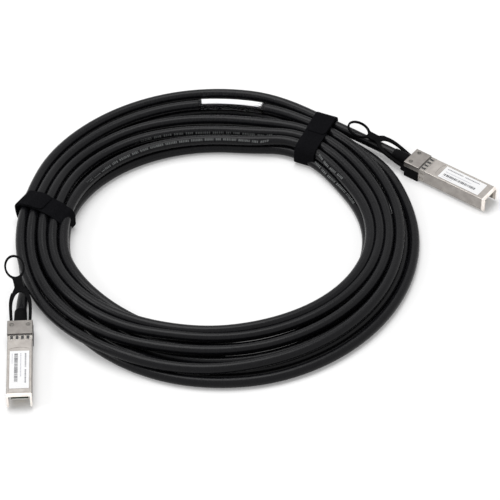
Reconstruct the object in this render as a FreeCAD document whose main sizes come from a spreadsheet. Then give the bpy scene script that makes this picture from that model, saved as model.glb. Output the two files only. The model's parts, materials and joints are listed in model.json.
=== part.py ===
import FreeCAD, Part
import math
import os
import re
import Sketcher

# Direct attach copper cable: two small pluggable plugs joined by one twinax
# cable, which is wound into a flat coil and held by two hook-and-loop straps.
# Millimetres, +Z up, standing on z = 0. The origin is the middle of the base of
# the box round the two plugs. A plug has a frame of its own: x runs from the
# rear of its head to its nose, y to its left, and z up from the table.

Vector = FreeCAD.Vector
UP = Vector(0, 0, 1)
ALONG_X = FreeCAD.Rotation(Vector(0, 1, 0), 90)
ALONG_Y = FreeCAD.Rotation(Vector(1, 0, 0), -90)

SIZES = [
    # the plug's two die-cast shells
    ("plug_length", 55.5), ("body_width", 13.55), ("body_height", 8.5), ("body_low", 1.5),
    ("head_length", 10.0), ("head_width", 13.9), ("head_rise", 0.7), ("plate_thickness", 3.5),
    ("core_width", 11.1), ("shell_wall", 1.1), ("shell_floor", 1.1), ("shell_roof", 1.05),
    ("nose_chamfer", 1.4), ("nose_opening", 10.4), ("edge_round", 0.4), ("block_length", 20.2),
    ("block_top", 2.5), ("split_gap", 0.02),
    # label and its recess in the upper shell
    ("label_length", 27.5), ("label_width", 10.5), ("label_thickness", 0.1), ("label_start", 22.3),
    ("recess_start", 20.8), ("recess_length", 31.6), ("recess_width", 11.2), ("recess_depth", 0.15),
    ("recess_bulge", 1.3),
    # sheet-metal spring collar
    ("collar_start", 10.2), ("collar_length", 3.9), ("collar_seat", 0.3), ("collar_sheet", 0.25),
    ("collar_slots", 4), ("collar_slot_width", 1.5), ("collar_slot_length", 2.5),
    ("collar_gap", 5.2),
    # release slider and pull tab
    ("slider_low", 0.0), ("slider_base", 0.9), ("slider_top", 7.0), ("slider_start", 0.3),
    ("slider_gap", 0.15), ("tab_thickness", 1.5), ("tab_reach", 36.3), ("ring_radius", 6.2),
    ("ring_band", 1.2), ("tab_half_width", 6.85), ("tab_middle", 10.0), ("tab_half_length", 19.6),
    ("loop_half_width", 5.25), ("loop_middle", 6.0), ("loop_half_length", 15.5),
    ("neck_width", 5.4), ("hinge_back", 1.4), ("hinge_high", 4.0), ("hinge_radius", 0.5),
    ("eye_radius", 1.2), ("eye_width", 1.25), ("lug_width", 0.65), ("tab_lift_a", 26.0),
    ("tab_lift_b", 21.6),
    # latch rocker, its pin and its leaf spring
    ("latch_pivot", 11.6), ("latch_pivot_high", 0.95), ("latch_clear", 0.05), ("latch_sheet", 0.8),
    ("latch_width", 4.0), ("tail_width", 2.6), ("tail_sheet", 0.6), ("tail_end", 7.0),
    ("tail_bend", 9.4), ("tail_rise", 0.4), ("latch_front", 19.0), ("boss_start", 14.7),
    ("boss_length", 2.6), ("boss_depth", 0.5), ("latch_hub", 0.9), ("pin_radius", 0.5),
    ("pin_play", 0.05), ("pin_length", 8.0), ("pocket_width", 4.8), ("pocket_start", 6.0),
    ("pocket_step", 10.2), ("pocket_end", 19.6), ("pocket_low_roof", 1.45),
    ("pocket_roof", 1.95), ("yoke_low", 2.3), ("yoke_thickness", 0.45), ("yoke_length", 0.8),
    ("yoke_post", 0.6), ("spring_width", 3.0), ("spring_sheet", 0.18), ("spring_start", 12.8),
    ("spring_bend", 14.0),
    # paddle card and what is soldered to it
    ("card_start", 20.6), ("card_setback", 3.2), ("card_width", 11.0), ("tongue_width", 9.2),
    ("tongue_length", 8.3), ("card_high", 2.25), ("card_thickness", 1.0), ("card_bevel", 0.3),
    ("pad_count", 10), ("pad_pitch", 0.8), ("pad_width", 0.6), ("pad_length", 5.0),
    ("pad_setback", 0.5), ("pad_thickness", 0.04), ("chip_side", 3.0), ("chip_height", 0.9),
    ("chip_start", 33.0), ("cap_length", 1.0), ("cap_width", 0.6), ("cap_height", 0.5),
    ("cap_behind", 3.0), ("cap_ahead", 5.0), ("cap_left", 2.0), ("cap_right", 3.0),
    ("core_radius", 0.7), ("core_spread", 1.25), ("core_side", 0.8), ("core_rise", 0.6),
    ("core_start", 8.9), ("core_end", 22.2), ("ledge_width", 0.8),
    # cable entry: boot, crimp ring and rivets
    ("cable_diameter", 6.1), ("boot_length", 11.0), ("boot_radius", 3.8), ("boot_tip_radius", 3.45),
    ("boot_seat", 0.85), ("flange_radius", 4.0), ("flange_width", 1.1), ("entry_clear", 0.1),
    ("jacket_end", 4.2), ("crimp_radius", 2.5), ("crimp_bore", 2.0), ("crimp_length", 5.0),
    ("rivet_radius", 0.8), ("rivet_head", 1.2), ("rivet_head_height", 0.35), ("rivet_sink", 0.45),
    ("rivet_x", 3.1), ("rivet_y", 4.45), ("rivet_floor", 0.8),
    # where the plugs lie
    ("plug_a_x", -130.0), ("plug_a_y", -53.4), ("plug_a_turn", -86.9),
    ("plug_b_x", 89.4), ("plug_b_y", 81.8), ("plug_b_turn", -36.5),
    # the coil: two layers of turns between two slightly oval outlines
    ("coil_x", -24.8), ("coil_y", 20.1), ("coil_round", 3.2),
    ("coil_shoulder", 5.5),
    ("outer_half_x", 113.3), ("outer_half_y", 118.9), ("outer_shift_x", 1.3), ("outer_shift_y", 1.7),
    ("inner_half_x", 83.3), ("inner_half_y", 76.3), ("inner_shift_x", 0.9), ("inner_shift_y", -1.4),
    # straps
    ("strap_width", 12.7), ("strap_thickness", 1.5), ("flap_thickness", 1.1), ("bundle_height", 11.4),
    ("bundle_width", 35.0), ("bundle_round", 3.5),
    ("strap_left_angle", 167.5), ("strap_left_radius", 97.3), ("strap_left_turn", 152.0),
    ("strap_right_angle", 53.3), ("strap_right_radius", 99.0), ("strap_right_turn", 66.0),
    # clear sleeve with a label under it, round one upper turn
    ("sleeve_angle", 84.8), ("sleeve_length", 37.0), ("sleeve_path", 108.0), ("sleeve_height", 9.0),
    ("sleeve_radius", 4.1), ("sleeve_bore", 3.45), ("wrap_radius", 3.35), ("wrap_length", 33.0),
]
NUMBER = dict(SIZES)

# The loose stretches of the cable, from inside a plug's head to inside the coil.
TAIL_A = [(-129.78, -57.39, 5.75), (-131.3, -29.44, 5.75), (-133.2, -0.6, 3.7), (-133.7, 23.4, 3.15)]
TAIL_B = [(92.62, 79.42, 5.75), (70.11, 96.08, 5.75), (43.9, 111.2, 9.15), (19.8, 120.4, 9.15)]

doc = FreeCAD.newDocument("direct_attach_cable")
sheet = doc.addObject("Spreadsheet::Sheet", "dims")
for row, (alias, value) in enumerate(SIZES, start=1):
    sheet.set("A%d" % row, alias)
    sheet.set("B%d" % row, str(value))
    sheet.setAlias("B%d" % row, alias)
spare = doc.addObject("Spreadsheet::Sheet", "spare")
doc.recompute()

ALIAS = re.compile(r"\b(%s)\b" % "|".join(sorted(NUMBER, key=len, reverse=True)))

# Heights that several pieces share, as formulas in the sheet's sizes.
MID = "(body_low + body_height / 2)"
TOP = "(body_low + body_height)"
HEAD_TOP = "(body_low + body_height + head_rise)"
PLATE_LOW = "(body_low + body_height + head_rise - plate_thickness)"
CARD_LOW = "(body_low + card_high)"
CARD_TOP = "(body_low + card_high + card_thickness)"
LATCH_LOW = "(body_low + latch_clear)"
PIVOT_Z = "(body_low + latch_pivot_high)"
POCKET_ROOF = "(body_low + pocket_roof)"
CAVITY = "(body_width - 2 * shell_wall)"


# ---- small helpers: a formula is a string in the sheet's sizes -------------------

def qualified(formula):
    """The formula with every size written as a cell of the sheet."""
    return ALIAS.sub(r"dims.\1", str(formula))


def worth(formula):
    """The formula's value in millimetres or degrees, worked out in a spare sheet."""
    spare.set("A1", "=" + qualified(formula))
    spare.recompute()
    return float(spare.get("A1"))


def bind(thing, **formulas):
    for prop, formula in formulas.items():
        thing.setExpression(prop, qualified(formula))


def put(thing, x="0", y="0", z="0", rotation=None):
    """Places thing by formulas, after turning it."""
    if rotation is not None:
        thing.Placement = FreeCAD.Placement(Vector(), rotation)
    for axis, formula in zip("xyz", (x, y, z)):
        thing.setExpression("Placement.Base." + axis, qualified(formula))
    return thing


def box(name, x, y, z):
    """A block from pairs of formulas, lowest and highest, along each axis."""
    block = doc.addObject("Part::Box", name)
    bind(block, Length="%s - (%s)" % (x[1], x[0]), Width="%s - (%s)" % (y[1], y[0]),
         Height="%s - (%s)" % (z[1], z[0]))
    return put(block, x[0], y[0], z[0])


def across(width):
    """The pair of formulas of a width centred on the plug's middle plane."""
    return "-(%s) / 2" % width, "(%s) / 2" % width


def rod(name, radius, length, x="0", y="0", z="0", rotation=None):
    cylinder = doc.addObject("Part::Cylinder", name)
    bind(cylinder, Radius=radius, Height=length)
    return put(cylinder, x, y, z, rotation)


def fuse(name, *pieces, refine=True):
    whole = doc.addObject("Part::MultiFuse", name)
    whole.Shapes = list(pieces)
    whole.Refine = refine
    return whole


def cut(name, base, *tools, refine=True):
    tool = tools[0] if len(tools) == 1 else fuse(name + "_tools", *tools)
    rest = doc.addObject("Part::Cut", name)
    rest.Base = base
    rest.Tool = tool
    rest.Refine = refine
    return rest


def rounded(name, base, radius, chosen):
    """Fillets the edges of base for which chosen(edge's box) is true."""
    doc.recompute()
    fillet = doc.addObject("Part::Fillet", name)
    fillet.Base = base
    size = NUMBER[radius]
    edges = enumerate(base.Shape.Edges, start=1)
    fillet.Edges = [(number, size, size) for number, edge in edges if chosen(edge.BoundBox)]
    return fillet


def profile(body, plane, corners):
    """A closed sketch on one of the body's planes, each corner held by two formulas."""
    sketch = body.newObject("Sketcher::SketchObject", body.Name + "_profile")
    base = [f for f in body.Origin.OriginFeatures if f.Role == plane][0]
    sketch.AttachmentSupport = [(base, "")]
    sketch.MapMode = "FlatFace"
    points = [Vector(worth(u), worth(v), 0) for u, v in corners]
    count = len(points)
    for i in range(count):
        sketch.addGeometry(Part.LineSegment(points[i], points[(i + 1) % count]), False)
    for i in range(count):
        sketch.addConstraint(Sketcher.Constraint("Coincident", i, 2, (i + 1) % count, 1))
    for i, (u, v) in enumerate(corners):
        for kind, formula, number in (("DistanceX", u, points[i].x), ("DistanceY", v, points[i].y)):
            held = sketch.addConstraint(Sketcher.Constraint(kind, -1, 1, i, 1, number))
            sketch.setExpression("Constraints[%d]" % held, qualified(formula))
    return sketch


def padded(name, plane, corners, length, symmetric=True):
    """A body padded from a profile: both ways from its plane, or one way."""
    body = doc.addObject("PartDesign::Body", name)
    pad = body.newObject("PartDesign::Pad", name + "_pad")
    pad.Profile = profile(body, plane, corners)
    pad.SideType = "Symmetric" if symmetric else "One side"
    bind(pad, Length=length)
    body.Tip = pad
    return body


def turned(name, corners):
    """A body revolved about its own X axis from a profile of (x, radius) corners."""
    body = doc.addObject("PartDesign::Body", name)
    spin = body.newObject("PartDesign::Revolution", name + "_spin")
    spin.Profile = profile(body, "XZ_Plane", corners)
    spin.ReferenceAxis = ([f for f in body.Origin.OriginFeatures if f.Role == "X_Axis"][0], [""])
    spin.Angle = 360
    body.Tip = spin
    return body


nodes = []


def node(label, *pieces):
    """One sub-part, which groups its solids under its own label and placement."""
    group = doc.addObject("Part::Compound", label)
    group.Links = list(pieces)
    group.Label = label
    nodes.append(group)
    return group


def lay(group, plug):
    """Puts a plug's sub-part where that plug lies."""
    group.Placement = FreeCAD.Placement(Vector(), FreeCAD.Rotation(UP, 45))
    bind(group, **{"Placement.Rotation.Angle": plug + "_turn"})
    put(group, plug + "_x", plug + "_y")


# ---- the plug ---------------------------------------------------------------------

def cable_entry(name):
    """The stepped bore through the head: boot, flange groove, jacket and crimp ring."""
    radius = "(cable_diameter / 2 + entry_clear)"
    return turned(name, [
        ("-1", "0"), ("-1", "boot_radius + entry_clear / 2"),
        ("boot_seat - entry_clear / 2", "boot_radius + entry_clear / 2"),
        ("boot_seat - entry_clear / 2", "flange_radius + entry_clear / 2"),
        ("boot_seat + flange_width + entry_clear / 2", "flange_radius + entry_clear / 2"),
        ("boot_seat + flange_width + entry_clear / 2", radius), ("jacket_end", radius),
        ("jacket_end", "crimp_radius"), ("head_length", "crimp_radius"), ("head_length", "0")])


def collar_seat(name):
    """What is cut away round both shells so that the collar lies flush."""
    span = ("collar_start", "collar_start + collar_length")
    outside = box(name + "_outside", span, across("head_width + 2"), ("body_low - 1", TOP + " + 1"))
    inside = box(name + "_inside", span, across("body_width - 2 * collar_seat"),
                 ("body_low + collar_seat", TOP + " - collar_seat"))
    return cut(name, outside, inside)


def rivet_holes(name):
    length = HEAD_TOP + " - body_low - rivet_floor + 1"
    holes = [rod(name + side, "rivet_radius", length, "rivet_x", sign + "rivet_y",
                 "body_low + rivet_floor") for side, sign in (("_left", ""), ("_right", "-"))]
    return holes


def upper_shell(name):
    """Lid with the thick head plate, the nose bevel and the recess for the label."""
    lid = padded(name + "_lid", "XZ_Plane", [
        ("head_length", MID), ("plug_length", MID), ("plug_length", TOP + " - nose_chamfer"),
        ("plug_length - nose_chamfer", TOP), ("head_length", TOP)], "body_width")
    plate = box(name + "_plate", ("0", "head_length"), across("head_width"), (PLATE_LOW, HEAD_TOP))
    core = box(name + "_core", ("0", "head_length"), across("core_width"), (MID, PLATE_LOW))
    solid = fuse(name + "_solid", lid, plate, core)
    high = worth(TOP) - 0.01
    solid = rounded(name + "_soft", solid, "edge_round", lambda b: b.ZMin > high and b.XLength > 5)
    entry = put(cable_entry(name + "_entry"), z=MID)
    hollow = box(name + "_hollow", ("head_length - 0.5", "plug_length + 1"), across(CAVITY),
                 (MID + " - 1", TOP + " - shell_roof"))
    sinks = [rod(name + "_sink" + side, "rivet_head + entry_clear", "rivet_sink + 1", "rivet_x",
                 sign + "rivet_y", HEAD_TOP + " - rivet_sink") for side, sign in (("_l", ""), ("_r", "-"))]
    recess = label_recess(name + "_recess")
    return cut(name, solid, entry, hollow, collar_seat(name + "_seat"), recess,
               *(rivet_holes(name + "_hole") + sinks))


def label_recess(name):
    """A shallow rectangle whose rear end is a flat arc."""
    field = box(name + "_field", ("recess_start", "recess_start + recess_length"),
                across("recess_width"), (TOP + " - recess_depth", TOP + " + 1"))
    radius = "((recess_width / 2) ^ 2 + recess_bulge ^ 2) / (2 * recess_bulge)"
    disc = rod(name + "_disc", radius, "recess_depth + 1",
               "recess_start - recess_bulge + " + radius, "0", TOP + " - recess_depth")
    window = box(name + "_window", ("recess_start - recess_bulge - 1", "recess_start + 1"),
                 across("recess_width"), (TOP + " - 2", TOP + " + 2"))
    arc = doc.addObject("Part::MultiCommon", name + "_arc")
    arc.Shapes = [disc, window]
    return fuse(name, field, arc)


def lower_shell(name):
    """Tray with the latch pocket, two ledges for the card and an open-bottomed nose."""
    tray = box(name + "_tray", ("head_length", "plug_length"), across("body_width"),
               ("body_low", MID + " - split_gap"))
    core = box(name + "_core", ("0", "head_length"), across("core_width"),
               ("body_low", MID + " - split_gap"))
    solid = fuse(name + "_solid", tray, core)
    low = worth("body_low") + 0.01
    solid = rounded(name + "_soft", solid, "edge_round", lambda b: b.ZMax < low and b.XLength > 20)
    entry = put(cable_entry(name + "_entry"), z=MID)
    block = box(name + "_over_block", ("head_length - 0.5", "plug_length + 1"), across(CAVITY),
                ("body_low + block_top", MID + " + 1"))
    hollow = box(name + "_hollow", ("block_length", "plug_length + 1"), across(CAVITY),
                 ("body_low + shell_floor", MID + " + 1"))
    opening = box(name + "_opening", ("plug_length - nose_opening", "plug_length + 1"),
                  across(CAVITY), ("body_low - 1", MID))
    pocket = box(name + "_pocket", ("pocket_step", "pocket_end"), across("pocket_width"),
                 ("body_low - 1", POCKET_ROOF))
    low_pocket = box(name + "_low_pocket", ("pocket_start", "pocket_step + 1"),
                     across("pocket_width"), ("body_low - 1", "body_low + pocket_low_roof"))
    pin_hole = rod(name + "_pin_hole", "pin_radius", "pin_length", "latch_pivot",
                   "-pin_length / 2", PIVOT_Z, ALONG_Y)
    shell = cut(name + "_cut", solid, entry, block, hollow, opening, pocket, low_pocket, pin_hole,
                collar_seat(name + "_seat"), *rivet_holes(name + "_hole"))
    ledges = [box(name + "_ledge" + side, ("card_start + 1", "plug_length - nose_opening - 1"),
                  pair, ("body_low + shell_floor", CARD_LOW)) for side, pair in (
                      ("_left", (CAVITY + " / 2 - ledge_width", CAVITY + " / 2 + 0.1")),
                      ("_right", ("-" + CAVITY + " / 2 - 0.1", "-" + CAVITY + " / 2 + ledge_width")))]
    return fuse(name, shell, *ledges)


def emi_collar(name):
    """Sheet band round both shells: spring fingers between slots, bowed outwards."""
    span = ("collar_start + 0.05", "collar_start + collar_length - 0.05")
    seat_w = "(body_width - 2 * collar_seat)"
    band = box(name + "_band", span, across(seat_w + " + 2 * collar_sheet"),
               ("body_low + collar_seat - collar_sheet", TOP + " - collar_seat + collar_sheet"))
    inside = box(name + "_inside", ("collar_start - 1", "collar_start + collar_length + 1"),
                 across(seat_w), ("body_low + collar_seat", TOP + " - collar_seat"))
    gap = box(name + "_gap", ("collar_start - 1", "collar_start + collar_length + 1"),
              across("collar_gap"), ("body_low - 1", "body_low + 1"))
    slot_x = ("collar_start + (collar_length - collar_slot_length) / 2",
              "collar_start + (collar_length + collar_slot_length) / 2")
    slots = []
    for i in range(int(NUMBER["collar_slots"])):
        middle = "(%d - (collar_slots - 1) / 2) * body_width / (collar_slots + 0.6)" % i
        slots.append(box(name + "_slot%d" % i, slot_x,
                         (middle + " - collar_slot_width / 2", middle + " + collar_slot_width / 2"),
                         (TOP + " - 1", TOP + " + 1")))
    for i in range(2):
        middle = MID + " + (%d - 0.5) * body_height / 2.4" % i
        slots.append(box(name + "_side%d" % i, slot_x, across("body_width + 2"),
                         (middle + " - collar_slot_width / 2", middle + " + collar_slot_width / 2")))
    return cut(name, band, inside, gap, *slots)


def release_slider(name):
    """Black channel under and beside the head, with a yoke over the latch's tail."""
    wall = "(head_width / 2 - core_width / 2 - slider_gap)"
    half = "head_width / 2"
    base = "(slider_low + slider_base)"
    channel = padded(name + "_channel", "YZ_Plane", [
        ("-" + half, "slider_low"), (half, "slider_low"), (half, "slider_top"),
        (half + " - " + wall, "slider_top"), (half + " - " + wall, base),
        ("-" + half + " + " + wall, base), ("-" + half + " + " + wall, "slider_top"),
        ("-" + half, "slider_top")], "head_length - 2 * slider_start", symmetric=False)
    put(channel, "slider_start")
    front = "(head_length - slider_start)"
    yoke_top = "(yoke_low + yoke_thickness)"
    yoke_x = (front + " - yoke_length", front)
    width = "(pocket_width - 0.6)"
    lintel = box(name + "_lintel", yoke_x, across(width), ("yoke_low", yoke_top))
    posts = [box(name + "_post" + side, yoke_x, pair, (base + " - 0.1", yoke_top)) for side, pair in (
        ("_left", (width + " / 2 - yoke_post", width + " / 2")),
        ("_right", ("-" + width + " / 2", "-" + width + " / 2 + yoke_post")))]
    arms = []
    for side, sign in (("_left", 1), ("_right", -1)):
        inner = "head_width / 2 - lug_width"
        outer = "head_width / 2"
        pair = (inner, outer) if sign > 0 else ("-(%s)" % outer, "-(%s)" % inner)
        arms.append(box(name + "_lug" + side, ("-hinge_back", "slider_start + 0.1"), pair,
                        ("hinge_high - 1", "hinge_high + 1")))
        start = "head_width / 2 - lug_width" if sign > 0 else "-head_width / 2"
        arms.append(rod(name + "_boss" + side, "1", "lug_width", "-hinge_back", start, "hinge_high",
                        ALONG_Y))
        reach = "lug_width + eye_width + 0.1"
        start = "head_width / 2 - (%s)" % reach if sign > 0 else "-head_width / 2"
        arms.append(rod(name + "_pin" + side, "hinge_radius", reach, "-hinge_back", start,
                        "hinge_high", ALONG_Y))
    return fuse(name, channel, lintel, *(posts + arms))


def flat_oval(name, half_x, half_y, x, thickness):
    """An elliptic plate centred at x, thickness / 2 each side of z = 0."""
    rim = doc.addObject("Part::Ellipse", name + "_rim")
    bind(rim, MajorRadius=half_x, MinorRadius=half_y)
    put(rim, x)
    plate = doc.addObject("Part::Extrusion", name)
    plate.Base = rim
    plate.DirMode = "Custom"
    plate.Dir = UP
    plate.Solid = True
    plate.Symmetric = True
    bind(plate, LengthFwd=thickness)
    return plate


def pull_tab(name, lift):
    """Two arms that bow round the boot, a bridge, and a finger ring, in one moulding.

    It is drawn flat, running along -x from the slider's pins, and then tilted up.
    """
    sheet_z = across("tab_thickness")
    body = flat_oval(name + "_body", "tab_half_length", "tab_half_width", "-tab_middle",
                     "tab_thickness")
    loop = flat_oval(name + "_loop", "loop_half_length", "loop_half_width", "-loop_middle",
                     "tab_thickness + 2")
    end = box(name + "_end", ("eye_radius * 0.6", "30"), ("-20", "20"), ("-5", "5"))
    neck = box(name + "_neck", ("-tab_reach + ring_radius * 0.5", "-loop_middle - loop_half_length"),
               across("neck_width"), sheet_z)
    ring = rod(name + "_ring", "ring_radius", "tab_thickness", "-tab_reach", "0",
               "-tab_thickness / 2")
    hole = rod(name + "_hole", "ring_radius - ring_band", "tab_thickness + 2", "-tab_reach", "0",
               "-tab_thickness / 2 - 1")
    arms = cut(name + "_arms", fuse(name + "_plate", body, neck, ring), loop, hole, end)
    eyes = []
    holes = []
    for side, start in (("_left", "head_width / 2 - lug_width - 0.05 - eye_width"),
                        ("_right", "-(head_width / 2 - lug_width - 0.05)")):
        eyes.append(rod(name + "_eye" + side, "eye_radius", "eye_width", "0", start, "0", ALONG_Y))
        holes.append(rod(name + "_bore" + side, "hinge_radius + pin_play", "eye_width + 2", "0",
                         start + " - 1", "0", ALONG_Y))
    flat = cut(name + "_flat", fuse(name + "_eyed", arms, *eyes), *holes)
    flat.Placement = FreeCAD.Placement(Vector(), FreeCAD.Rotation(Vector(0, 1, 0), 10))
    bind(flat, **{"Placement.Rotation.Angle": lift})
    return put(flat, "-hinge_back", "0", "hinge_high")


def latch(name):
    """Rocker with the wedge that catches the cage, a pivot hub and a sloping tail."""
    low = LATCH_LOW
    front = padded(name + "_front", "XZ_Plane", [
        ("latch_pivot", low), ("boss_start", low), ("boss_start", low + " - boss_depth"),
        ("boss_start + boss_length", low), ("latch_front", low),
        ("latch_front", low + " + latch_sheet"), ("latch_pivot", low + " + latch_sheet")],
        "latch_width")
    tail = padded(name + "_tail", "XZ_Plane", [
        ("tail_end", low), ("latch_pivot", low), ("latch_pivot", low + " + tail_sheet"),
        ("tail_bend", low + " + tail_sheet"), ("tail_end", low + " + tail_sheet + tail_rise")],
        "tail_width")
    hub = rod(name + "_hub", "latch_hub", "latch_width", "latch_pivot", "-latch_width / 2", PIVOT_Z,
              ALONG_Y)
    bore = rod(name + "_bore", "pin_radius + pin_play", "latch_width + 2", "latch_pivot",
               "-latch_width / 2 - 1", PIVOT_Z, ALONG_Y)
    return cut(name, fuse(name + "_solid", front, tail, hub), bore)


def latch_spring(name):
    """Leaf from the pocket's roof down to the latch's front end."""
    roof = POCKET_ROOF
    tip_x = "latch_front - 0.8"
    tip_z = "(" + LATCH_LOW + " + latch_sheet + 0.03)"
    return padded(name, "XZ_Plane", [
        ("spring_start", roof), ("spring_start", roof + " - spring_sheet"),
        ("spring_bend", roof + " - spring_sheet"), (tip_x, tip_z),
        (tip_x + " + 0.5", tip_z), (tip_x + " + 0.5", tip_z + " + spring_sheet"),
        (tip_x, tip_z + " + spring_sheet"), ("spring_bend", roof)], "spring_width")


def paddle_card(name):
    """Card whose narrower tongue plugs into the host, bevelled at its front edge."""
    end = "(plug_length - card_setback)"
    step = "(plug_length - card_setback - tongue_length)"
    side = "card_width / 2"
    tongue = "tongue_width / 2"
    card = padded(name + "_card", "XY_Plane", [
        ("card_start", "-" + side), (step, "-" + side), (step, "-" + tongue), (end, "-" + tongue),
        (end, tongue), (step, tongue), (step, side), ("card_start", side)],
        "card_thickness", symmetric=False)
    put(card, z=CARD_LOW)
    low = worth(CARD_LOW)
    front = worth(end) - 0.01
    bevel = doc.addObject("Part::Chamfer", name)
    doc.recompute()
    bevel.Base = card
    size = NUMBER["card_bevel"]
    picked = [n for n, e in enumerate(card.Shape.Edges, start=1)
              if e.BoundBox.XMin > front and e.BoundBox.YLength > 5 and e.BoundBox.ZMin > low - 1]
    bevel.Edges = [(n, size, size) for n in picked]
    return bevel


def contact_pads(name):
    """Gold pads in one row on each side of the tongue."""
    pads = []
    end = "(plug_length - card_setback - pad_setback)"
    for i in range(int(NUMBER["pad_count"])):
        middle = "(%d - (pad_count - 1) / 2) * pad_pitch" % i
        span = (middle + " - pad_width / 2", middle + " + pad_width / 2")
        for side, low in (("_top", CARD_TOP), ("_under", CARD_LOW + " - pad_thickness")):
            pads.append(box(name + side + str(i), (end + " - pad_length", end), span,
                            (low, low + " + pad_thickness")))
    return pads


def card_chips(name):
    """The memory chip and four small capacitors on the card's upper side."""
    chips = [box(name + "_memory", ("chip_start", "chip_start + chip_side"), across("chip_side"),
                 (CARD_TOP, CARD_TOP + " + chip_height"))]
    corners = [(x, y) for x in ("chip_start - cap_behind", "chip_start + cap_ahead")
               for y in ("cap_left", "-cap_right")]
    for i, (x, y) in enumerate(corners):
        chips.append(box(name + "_cap%d" % i, (x, x + " + cap_length"), (y, y + " + cap_width"),
                         (CARD_TOP, CARD_TOP + " + cap_height")))
    return chips


def twinax_cores(name):
    """The foiled bundle inside the crimp ring, and the four cores that leave it."""
    start = "(jacket_end - 0.15)"
    bundle = rod(name + "_bundle", "crimp_bore", "crimp_length + 0.25", start, "0", MID, ALONG_X)
    cores = [bundle]
    middle = worth(MID)
    rest_z = worth(CARD_TOP + " + core_radius") + 0.05
    for i, (side, level) in enumerate(((-1, 1), (1, 1), (-1, -1), (1, -1))):
        first = Vector(NUMBER["core_start"], side * NUMBER["core_side"],
                       middle + level * NUMBER["core_rise"])
        share = 1 if level > 0 else 3
        last = Vector(NUMBER["core_end"], side * share * NUMBER["core_spread"], rest_z)
        core = doc.addObject("Part::Feature", name + "_core%d" % i)
        core.Shape = Part.makeCylinder(NUMBER["core_radius"], (last - first).Length, first,
                                       last - first)
        cores.append(core)
    return fuse(name, *cores)


def crimp_ring(name):
    start = "(jacket_end + 0.1)"
    barrel = rod(name + "_barrel", "crimp_radius", "crimp_length", start, "0", MID, ALONG_X)
    bore = rod(name + "_bore", "crimp_bore", "crimp_length + 2", start + " - 1", "0", MID, ALONG_X)
    return cut(name, barrel, bore)


def boot(name):
    """Strain relief with a flange held in the head, tapering towards the cable."""
    bore = "cable_diameter / 2"
    body = turned(name, [
        ("-boot_length", bore), ("-boot_length", "boot_tip_radius"), ("-1", "boot_radius"),
        ("boot_seat", "boot_radius"), ("boot_seat", "flange_radius"),
        ("boot_seat + flange_width", "flange_radius"), ("boot_seat + flange_width", bore)])
    return put(body, z=MID)


def rivets(name):
    """Two domed rivets that clamp the shells together through the head plate."""
    pieces = []
    for side, sign in (("_left", ""), ("_right", "-")):
        y = sign + "rivet_y"
        seat = "(" + HEAD_TOP + " - rivet_sink)"
        low = "(body_low + rivet_floor)"
        shank = rod(name + "_shank" + side, "rivet_radius", seat + " + 0.1 - " + low, "rivet_x", y, low)
        head = rod(name + "_head" + side, "rivet_head", "rivet_head_height", "rivet_x", y, seat)
        pieces.append(fuse(name + side, shank, head))
    return pieces


def plug(tag, lift):
    """All the sub-parts of one plug, laid where that plug lies."""
    name = "plug_" + tag
    parts = {
        "upper_shell": [upper_shell(name + "_upper")],
        "lower_shell": [lower_shell(name + "_lower")],
        "emi_collar": [emi_collar(name + "_collar")],
        "rivets": rivets(name + "_rivet"),
        "release_slider": [release_slider(name + "_slider")],
        "pull_tab": [pull_tab(name + "_tab", lift)],
        "latch": [latch(name + "_rocker")],
        "latch_pin": [rod(name + "_pin", "pin_radius", "pin_length", "latch_pivot",
                          "-pin_length / 2", PIVOT_Z, ALONG_Y)],
        "latch_spring": [latch_spring(name + "_leaf")],
        "paddle_card": [paddle_card(name + "_card")],
        "card_chips": card_chips(name + "_chips"),
        "contact_pads": contact_pads(name + "_pads"),
        "twinax_cores": [twinax_cores(name + "_cores")],
        "crimp_ring": [crimp_ring(name + "_sleeve")],
        "boot": [boot(name + "_relief")],
        "label": [box(name + "_sticker", ("label_start", "label_start + label_length"),
                      across("label_width"),
                      (TOP + " - recess_depth", TOP + " - recess_depth + label_thickness"))],
    }
    for part, pieces in parts.items():
        lay(node(name + "_" + part, *pieces), name)


# ---- the cable --------------------------------------------------------------------

def tube(label, points, diameter):
    """A round cable along straight runs joined by arcs as large as the runs allow."""
    corners = [Vector(*p) for p in points]
    edges = []
    start = corners[0]
    radii = []
    for before, corner, after in zip(corners, corners[1:], corners[2:]):
        into = (corner - before).normalize()
        out = (after - corner).normalize()
        run = min((corner - before).Length, (after - corner).Length)
        turn = into.getAngle(out)
        radii.append(0.45 * run / math.tan(turn / 2))
        enter = corner - into * (0.45 * run)
        leave = corner + out * (0.45 * run)
        inward = (out - into).normalize()
        centre = corner + inward * (radii[-1] / math.cos(turn / 2))
        middle = centre - inward * radii[-1]
        edges.append(Part.LineSegment(start, enter).toShape())
        edges.append(Part.Arc(enter, middle, leave).toShape())
        start = leave
    edges.append(Part.LineSegment(start, corners[-1]).toShape())
    path = Part.Wire(edges)
    section = Part.Wire(Part.Circle(corners[0], corners[1] - corners[0], diameter / 2).toShape())
    solid = path.makePipeShell([section], True, True)
    expected = path.Length * math.pi * diameter ** 2 / 4
    print("%s: length %.1f, radii %s, volume %.4f of section times length" % (
        label, path.Length, ", ".join("%.0f" % r for r in radii), solid.Volume / expected))
    feature = doc.addObject("Part::Feature", label)
    feature.Label = label
    feature.Shape = solid
    nodes.append(feature)


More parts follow.
